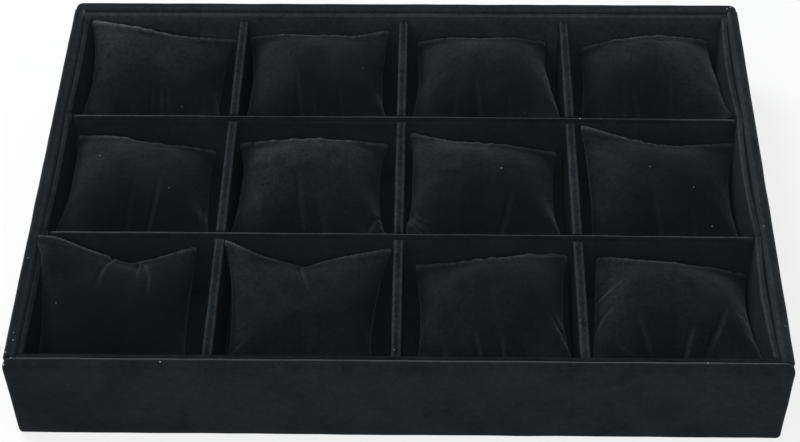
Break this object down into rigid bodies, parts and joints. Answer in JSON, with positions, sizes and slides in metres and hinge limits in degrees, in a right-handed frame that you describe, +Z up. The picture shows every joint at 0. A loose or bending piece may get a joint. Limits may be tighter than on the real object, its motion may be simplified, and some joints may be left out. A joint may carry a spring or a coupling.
{
  "type": "watch display tray",
  "caption": "Shallow open tray wrapped in velvet, with an interlocking grid of dividers and a stuffed, gathered velvet pillow in each compartment.",
  "frame": {"origin": "middle of the tray's footprint, on the surface that it stands on", "axes": "+X to the right along the long side seen from the front, +Y to the back, +Z up"},
  "size_m": [0.35, 0.244, 0.051],
  "materials": {
    "box_velvet": "short-pile velvet glued on board",
    "lining_velvet": "short-pile velvet glued on card",
    "column_velvet": "short-pile velvet glued on board",
    "row_velvet": "short-pile velvet glued on board",
    "pillow_velvet": "soft velvet over loose filling, gathered at the seams"
  },
  "bodies": {
    "root": {"back_lining": "lining_velvet", "back_wall": "box_velvet", "base_board": "box_velvet", "column_divider_1": "column_velvet", "column_divider_2": "column_velvet", "column_divider_3": "column_velvet", "floor_card": "lining_velvet", "front_lining": "lining_velvet", "front_wall": "box_velvet", "left_lining_row_1": "lining_velvet", "left_lining_row_2": "lining_velvet", "left_lining_row_3": "lining_velvet", "left_wall": "box_velvet", "pillow_row_1_column_1": "pillow_velvet", "pillow_row_1_column_2": "pillow_velvet", "pillow_row_1_column_3": "pillow_velvet", "pillow_row_1_column_4": "pillow_velvet", "pillow_row_2_column_1": "pillow_velvet", "pillow_row_2_column_2": "pillow_velvet", "pillow_row_2_column_3": "pillow_velvet", "pillow_row_2_column_4": "pillow_velvet", "pillow_row_3_column_1": "pillow_velvet", "pillow_row_3_column_2": "pillow_velvet", "pillow_row_3_column_3": "pillow_velvet", "pillow_row_3_column_4": "pillow_velvet", "right_lining_row_1": "lining_velvet", "right_lining_row_2": "lining_velvet", "right_lining_row_3": "lining_velvet", "right_wall": "box_velvet", "row_divider_1": "row_velvet", "row_divider_2": "row_velvet"}
  },
  "joints": []
}
